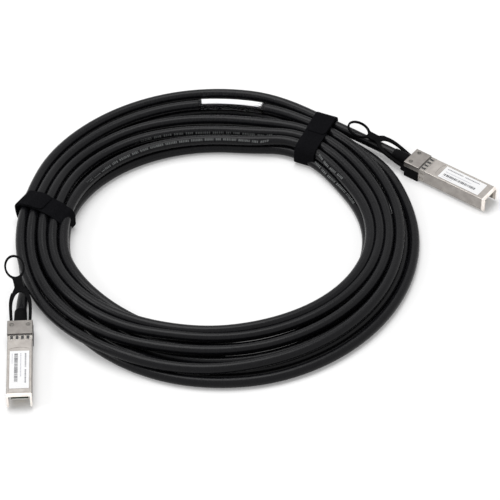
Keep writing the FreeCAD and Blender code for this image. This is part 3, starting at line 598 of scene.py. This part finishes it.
def make_strap(tag, angle, radius, turn):
    """A woven ribbon swept along the strap's line, with soft edges.

    Its middle lies in the direction angle from the coil's, at the distance radius, and its
    line points in the direction turn.
    """
    middle = (COIL_X + radius * math.cos(math.radians(angle)),
              COIL_Y + radius * math.sin(math.radians(angle)))
    out = (math.cos(math.radians(turn)), math.sin(math.radians(turn)))
    aside = (-out[1], out[0])
    half = STRAP_WIDE / 2
    fine = divided(strap_line(tag))
    verts, faces = [], []
    walked = 0.0
    for row, (s, z) in enumerate(fine):
        if row:
            walked += math.hypot(s - fine[row - 1][0], z - fine[row - 1][1])
        narrow = 1.0
        if walked < ROUNDED_END:
            short = (ROUNDED_END - walked) / ROUNDED_END
            narrow = math.sqrt(max(0.05, 1 - short ** 2)) * 0.35 + 0.65
        for share in ACROSS:
            wave = 0.12 * math.sin(walked * 0.55 + share * 2) + random.uniform(-0.05, 0.05)
            fray = random.uniform(-0.12, 0.12) if abs(share) == 1 else 0
            edge = share * half * narrow + fray
            verts.append((middle[0] + out[0] * s + aside[0] * edge,
                          middle[1] + out[1] * s + aside[1] * edge,
                          max(z + wave * 0.5, CLOTH_THICK / 2)))
    columns = len(ACROSS)
    for row in range(len(fine) - 1):
        for column in range(columns - 1):
            first = row * columns + column
            faces.append((first, first + 1, first + columns + 1, first + columns))
    piece = mesh_piece("strap_%s_cloth" % tag, verts, faces)
    thick = piece.modifiers.new("thickness", "SOLIDIFY")
    thick.thickness = CLOTH_THICK * MM
    thick.offset = 0.0
    soft = piece.modifiers.new("soft", "SUBSURF")
    soft.levels = soft.render_levels = 1
    dress(piece, "hook_and_loop")
    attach(piece, "cable")
    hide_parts("strap_" + tag)


# ---- pull tabs ----------------------------------------------------------------------

TAB_THICK = 1.5
TAB_EDGE = 0.25
TAB_FRONT = 0.7

# Egg shapes: how far the widest place is behind the hinge, the lengths in front of and
# behind it, and the half width there. The neck is its start, its end and its half width.
TAB_BODY = (12.4, 27.0, 11.4, 6.3)
TAB_LOOP = (11.0, 24.0, 9.3, 4.5)
TAB_RING = (35.4, 7.0, 7.0, 5.6)
TAB_NECK = (17.5, 31.0, 2.5)
RING_BAND = 1.1
LOOP_END = TAB_LOOP[0] + TAB_LOOP[2]
RING_END = TAB_RING[0] + TAB_RING[2]

# The hinge line's place behind and above a plug's rear edge, and the eyes on it.
HINGE_BACK, HINGE_HIGH = 1.4, 4.0
EYE_RADIUS, EYE_WIDTH, EYE_SIDE, EYE_ROUND = 1.2, 1.25, 5.6, 0.12

# How far each tab rises from the floor's plane, and its ring leans aside.
TAB_LIFT = {"a": 26.0, "b": 18.4}
TAB_LEAN = {"a": -11.0, "b": -14.0}


def egg_width(egg, back):
    """Half width of an egg-shaped plate at this distance behind the hinge."""
    middle, front, rear, half = egg
    share = (back - middle) / (rear if back > middle else front)
    return half * math.sqrt(max(0.0, 1 - share * share))


def tab_half(back):
    """Half width of the whole tab, its body, neck and ring blended into each other."""
    neck = TAB_NECK[2] if TAB_NECK[0] < back < TAB_NECK[1] else 0.0
    parts = (egg_width(TAB_BODY, back), neck, egg_width(TAB_RING, back))
    return sum(part ** 6 for part in parts) ** (1 / 6)


def tab_point(tag, back, side):
    """A point of the flat tab, whose neck and ring lean aside from the end of its loop."""
    past = max(0.0, back - LOOP_END)
    if not past:
        return -back, side
    turn = math.radians(TAB_LEAN[tag])
    return (-LOOP_END - past * math.cos(turn) + side * math.sin(turn),
            past * math.sin(turn) + side * math.cos(turn))


def closer_towards_end(end, steps):
    """Places from the tab's front to an end, closer together towards the end."""
    reach = end + TAB_FRONT
    return [-TAB_FRONT + reach * math.sin(math.pi / 2 * i / steps) for i in range(steps)]


def outline(data, points):
    """Adds a closed line to a flat curve."""
    line = data.splines.new("POLY")
    line.points.add(len(points) - 1)
    for knot, (x, y) in zip(line.points, points):
        knot.co = (x * MM, y * MM, 0, 1)
    line.use_cyclic_u = True


def tab_outlines(data, tag):
    """The tab's rim, open at the front between its two arms, and the ring's hole."""
    outer = closer_towards_end(RING_END, 70)
    inner = closer_towards_end(LOOP_END, 30)
    rim = [tab_point(tag, back, tab_half(back)) for back in outer]
    rim.append(tab_point(tag, RING_END, 0.0))
    rim += [tab_point(tag, back, -tab_half(back)) for back in reversed(outer)]
    rim += [(-back, -egg_width(TAB_LOOP, back)) for back in inner]
    rim.append((-LOOP_END, 0.0))
    rim += [(-back, egg_width(TAB_LOOP, back)) for back in reversed(inner)]
    outline(data, rim)
    hole = []
    steps = 48
    for step in range(steps):
        turn = math.tau * step / steps
        back = TAB_RING[0] + (TAB_RING[1] - RING_BAND) * math.cos(turn)
        hole.append(tab_point(tag, back, (TAB_RING[3] - RING_BAND) * math.sin(turn)))
    outline(data, hole)


def make_eye(tag, side, hinge, heading):
    """A round boss that joins one arm of a tab to its slider."""
    eye = bmesh.new()
    bmesh.ops.create_cone(eye, cap_ends=True, segments=32, radius1=EYE_RADIUS * MM,
                          radius2=EYE_RADIUS * MM, depth=EYE_WIDTH * MM)
    bmesh.ops.bevel(eye, geom=eye.edges[:], offset=EYE_ROUND * MM, segments=2, affect="EDGES")
    mesh = bpy.data.meshes.new("tab_eye")
    eye.to_mesh(mesh)
    eye.free()
    name = "plug_%s_tab_eye_%s" % (tag, "left" if side > 0 else "right")
    boss = link(bpy.data.objects.new(name, mesh))
    left = plug_frame(tag)[2]
    place = hinge + left * side * EYE_SIDE
    boss.matrix_world = (Matrix.Translation(place * MM) @ Matrix.Rotation(heading, 4, "Z")
                         @ Matrix.Rotation(math.pi / 2, 4, "X"))
    dress(boss, "black_plastic")
    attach(boss, "plug_%s_release" % tag)


def make_tab(tag):
    """Two arms that bow round the boot, a neck and a finger ring, in one moulding."""
    data = bpy.data.curves.new("plug_%s_tab" % tag, "CURVE")
    data.dimensions = "2D"
    data.fill_mode = "BOTH"
    data.extrude = (TAB_THICK / 2 - TAB_EDGE) * MM
    data.bevel_depth = TAB_EDGE * MM
    data.bevel_resolution = 2
    data.offset = -TAB_EDGE * MM
    tab_outlines(data, tag)
    piece = link(bpy.data.objects.new("plug_%s_tab" % tag, data))
    rear, ahead = plug_frame(tag)[:2]
    heading = math.atan2(ahead.y, ahead.x)
    hinge = rear - ahead * HINGE_BACK + Vector((0, 0, HINGE_HIGH))
    piece.matrix_world = (Matrix.Translation(hinge * MM) @ Matrix.Rotation(heading, 4, "Z")
                          @ Matrix.Rotation(math.radians(TAB_LIFT[tag]), 4, "Y"))
    dress(piece, "black_plastic")
    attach(piece, "plug_%s_release" % tag)
    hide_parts("plug_%s_pull_tab" % tag)
    for side in (-1, 1):
        make_eye(tag, side, hinge, heading)


# ---- prints, thin details and painted shadow ------------------------------------------

MARK_LOW, MARK_HIGH = 9.94, 9.97    # the marks lie just over a label or a collar
CARD_FRONT, CARD_HALF = 52.3, 4.62
# The collar's fingers, their pitch, and the half width of the painted shadow between two of them.
FINGERS, FINGER_PITCH, WINDOW_HALF = 4, 13.55 / 4.6, 0.72
PRINT_RADIUS = 95       # turns a length of print into a share of a turn, nearly
DEGREES_PER_MM = 9.4    # round the jacket, for half of a mark's height
LABEL_START, COLUMN_END = 24.2, 45.0

# Dashed lines on a label: how far to the left and how tall, where each starts and ends.
FINE_LINES = ((-4.1, 0.4, LABEL_START, 31.5), (0.45, 0.55, LABEL_START, 41.5))
BOLD_LINES = ((2.9, 0.8, LABEL_START, 34.5), (2.9, 0.8, 36.0, 46.0))


def on_cable(radius, height, angle, around, clear):
    """A point over the jacket, around its line from straight outwards to up and inwards."""
    reach = radius + (HALF + clear) * math.cos(math.radians(around))
    turn = math.radians(angle)
    return (COIL_X + reach * math.cos(turn), COIL_Y + reach * math.sin(turn),
            height + (HALF + clear) * math.sin(math.radians(around)))


def wrapped(name, half_angle, start, end, clear, thick, look, node):
    """A sheet that follows the cable round the sleeve's place, from start to end around it."""
    long_steps, round_steps = 28, 24
    verts, faces = [], []
    for i in range(long_steps + 1):
        angle = SLEEVE_ANGLE + half_angle * (1 - 2 * i / long_steps)
        for j in range(round_steps + 1):
            around = start + (end - start) * j / round_steps
            verts.append(on_cable(SLEEVE_PATH, SLEEVE_HEIGHT, angle, around, clear))
    for i in range(long_steps):
        for j in range(round_steps):
            first = i * (round_steps + 1) + j
            faces.append((first, first + 1, first + round_steps + 2, first + round_steps + 1))
    piece = mesh_piece(name, verts, faces)
    solid = piece.modifiers.new("thickness", "SOLIDIFY")
    solid.thickness = thick * MM
    solid.offset = 0.0
    dress(piece, look)
    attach(piece, "cable")
    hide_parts(node)


def jacket_marks(name, first_turn, last_turn, around, tall):
    """Groups of short pale dashes along a stretch of the cable, in place of its print."""
    verts, faces = [], []
    turn = first_turn
    left_in_group = 5
    while turn < last_turn:
        step = random.uniform(0.5, 1.1) / (math.tau * PRINT_RADIUS)
        corners = []
        for along, side in ((turn, -1), (turn + step, -1), (turn + step, 1), (turn, 1)):
            x, y, z = coil_point(along)
            radius = math.hypot(x - COIL_X, y - COIL_Y) * NURBS_PULL
            angle = START_ANGLE - 360 * along
            spread = side * tall * DEGREES_PER_MM
            corners.append(on_cable(radius, z, angle, around + spread, 0.1))
        faces.append(tuple(range(len(verts), len(verts) + 4)))
        verts += corners
        left_in_group -= 1
        gap = random.uniform(0.35, 0.6)
        if left_in_group == 0:
            left_in_group = random.randint(3, 8)
            gap = 1.8
        turn += step + gap / (math.tau * PRINT_RADIUS)
    piece = mesh_piece(name, verts, faces)
    dress(piece, "jacket_print")
    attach(piece, "cable")


def bars(name, tag, boxes, look, low=MARK_LOW, high=MARK_HIGH):
    """Thin flat boxes on a plug, each from x0 to x1 forward and from y0 to y1 to the left."""
    rear, ahead, left = plug_frame(tag)
    verts, faces = [], []
    for x0, x1, y0, y1 in boxes:
        start = len(verts)
        for z in (low, high):
            for x, y in ((x0, y0), (x1, y0), (x1, y1), (x0, y1)):
                corner = rear + ahead * x + left * y
                verts.append((corner.x, corner.y, z))
        faces.append((start + 4, start + 5, start + 6, start + 7))
        faces.append((start + 3, start + 2, start + 1, start))
        for i in range(4):
            j = (i + 1) % 4
            faces.append((start + i, start + j, start + j + 4, start + i + 4))
    piece = mesh_piece(name, verts, faces, shade=False)
    dress(piece, look)
    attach(piece, "cable")


def card_edge(tag):
    """The bare front edge of the card, in the mouth of the plug."""
    low, high = (corner[2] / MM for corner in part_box("plug_%s_paddle_card" % tag))
    edge = (CARD_FRONT, CARD_FRONT + 0.06, -CARD_HALF, CARD_HALF)
    bars("plug_%s_card_edge" % tag, tag, [edge], "bare_edge", low - 0.02, high + 0.02)


def collar_painted_shadows(tag):
    """Black bars that paint the shadow in the gap behind the head and in the windows between the collar's fingers.
    """
    boxes = [(10.02, 10.65, -6.6, 6.6)]
    for finger in range(FINGERS):
        middle = (finger - (FINGERS - 1) / 2) * FINGER_PITCH
        boxes.append((10.95, 13.3, middle - WINDOW_HALF, middle + WINDOW_HALF))
    # The chip's black look paints the shadow.
    bars("plug_%s_collar_gaps" % tag, tag, boxes, "chip")


def label_marks(tag):
    """A column of bars and a few plain dashed lines on a plug's label."""
    column = []
    x = LABEL_START
    while x < COLUMN_END:
        wide = random.choice((0.25, 0.25, 0.45, 0.7))
        column.append((x, x + wide, -2.75, -0.85))
        x += wide + random.choice((0.2, 0.2, 0.4))
    bars("label_%s_bars" % tag, tag, column, "ink")
    for kind, rows, look in (("fine", FINE_LINES, "pale_ink"), ("bold", BOLD_LINES, "grey_ink")):
        dashes = []
        for side, tall, start, end in rows:
            x = start
            while x < end:
                run = random.uniform(0.35, 0.9)
                dashes.append((x, min(x + run, end), side, side + tall))
                x += run + 0.3
        bars("label_%s_%s" % (tag, kind), tag, dashes, look)


# ---- floor, light and camera --------------------------------------------------------

FLOOR_WHITE = 0.83
FLOOR_GLOW = 0.18       # added where the camera or a reflection sees the floor
FLOOR_DROP = 0.00002    # metres below the object
WORLD_LIGHT, WORLD_SEEN = 0.45, 1.0
CAMERA_PLACE = (-0.0045, -1.0078, 0.9857)
CAMERA_TILT = 46


def seen_rays(nodes, links):
    """1 for rays from the camera, from gloss and through glass, otherwise 0."""
    rays = nodes.new("ShaderNodeLightPath")
    found = rays.outputs["Is Camera Ray"]
    for kind in ("Is Glossy Ray", "Is Transmission Ray"):
        larger = nodes.new("ShaderNodeMath")
        larger.operation = "MAXIMUM"
        links.new(found, larger.inputs[0])
        links.new(rays.outputs[kind], larger.inputs[1])
        found = larger.outputs[0]
    return found


def make_floor():
    """A white sweep that catches soft shadows and reads as pure white elsewhere."""
    bpy.ops.mesh.primitive_plane_add(size=30, location=(0, 0, -FLOOR_DROP))
    floor = bpy.context.object
    floor.name = "floor"
    made = bpy.data.materials.new("white_floor")
    made.use_nodes = True
    nodes, links = made.node_tree.nodes, made.node_tree.links
    nodes.clear()
    out = nodes.new("ShaderNodeOutputMaterial")
    matt = nodes.new("ShaderNodeBsdfDiffuse")
    matt.inputs["Color"].default_value = (FLOOR_WHITE, FLOOR_WHITE, FLOOR_WHITE, 1)
    glow = nodes.new("ShaderNodeEmission")
    glow.inputs["Color"].default_value = (1.0, 1.0, 1.0, 1)
    level = nodes.new("ShaderNodeMath")
    level.operation = "MULTIPLY"
    level.inputs[1].default_value = FLOOR_GLOW
    links.new(seen_rays(nodes, links), level.inputs[0])
    links.new(level.outputs[0], glow.inputs["Strength"])
    both = nodes.new("ShaderNodeAddShader")
    links.new(matt.outputs[0], both.inputs[0])
    links.new(glow.outputs[0], both.inputs[1])
    links.new(both.outputs[0], out.inputs["Surface"])
    floor.data.materials.append(made)


def area_light(name, place, size, power):
    """A soft lamp that faces the middle of the scene."""
    data = bpy.data.lights.new(name, "AREA")
    data.shape = "RECTANGLE"
    data.size, data.size_y = size
    data.energy = power
    lamp = link(bpy.data.objects.new(name, data))
    lamp.location = place
    lamp.rotation_euler = (-Vector(place)).to_track_quat("-Z", "Y").to_euler()


def make_lights():
    """A large lamp above, a small one on the left, and a pale world round them."""
    area_light("overhead", (-0.3, 0.45, 1.9), (1.5, 1.2), 25.5)
    area_light("side", (-1.5, -0.3, 1.0), (0.7, 0.7), 6.5)
    world = bpy.data.worlds.new("studio")
    bpy.context.scene.world = world
    world.use_nodes = True
    nodes, links = world.node_tree.nodes, world.node_tree.links
    back = nodes["Background"]
    back.inputs["Color"].default_value = (1, 1, 1, 1)
    level = nodes.new("ShaderNodeMapRange")
    level.inputs["To Min"].default_value = WORLD_LIGHT
    level.inputs["To Max"].default_value = WORLD_SEEN
    links.new(seen_rays(nodes, links), level.inputs["Value"])
    links.new(level.outputs["Result"], back.inputs["Strength"])


def make_camera():
    """The camera, where the plugs' known sizes and the coil's roundness put it."""
    data = bpy.data.cameras.new("camera")
    data.lens = 180
    data.sensor_width = 36
    camera = link(bpy.data.objects.new("camera", data))
    camera.location = CAMERA_PLACE
    camera.rotation_euler = (math.radians(CAMERA_TILT), 0, 0)
    bpy.context.scene.camera = camera


# ---- the whole scene ----------------------------------------------------------------

paint_nodes()
make_camera()
make_cable()
make_strap("left", LEFT_STRAP + 2.0, LEFT_MIDDLE + 0.8, 148.0)
make_strap("right", RIGHT_STRAP, RIGHT_MIDDLE, 66.0)
for plug in "ab":
    make_tab(plug)
for plug in "ab":
    label_marks(plug)
for plug in "ab":
    card_edge(plug)
# Painted shadow behind each plug's head and between its collar's fingers.
for plug in "ab":
    collar_painted_shadows(plug)
wrapped("label_wrap_sheet", 9.55, -25, 134, 0.1, 0.12, "paper", "wrap_label")
wrapped("sleeve_film", 10.5, -180, 180, 0.4, 0.25, "clear_film", "label_sleeve")
jacket_marks("jacket_marks_1", 6.13, 6.36, 157, 1.3)
jacket_marks("jacket_marks_2", 5.12, 5.36, 132, 1.3)
jacket_marks("jacket_marks_3", 4.42, 4.5, 120, 1.3)
jacket_marks("jacket_marks_4", 5.42, 5.47, 128, 1.2)
make_floor()
make_lights()
bpy.context.scene.view_settings.view_transform = "Standard"
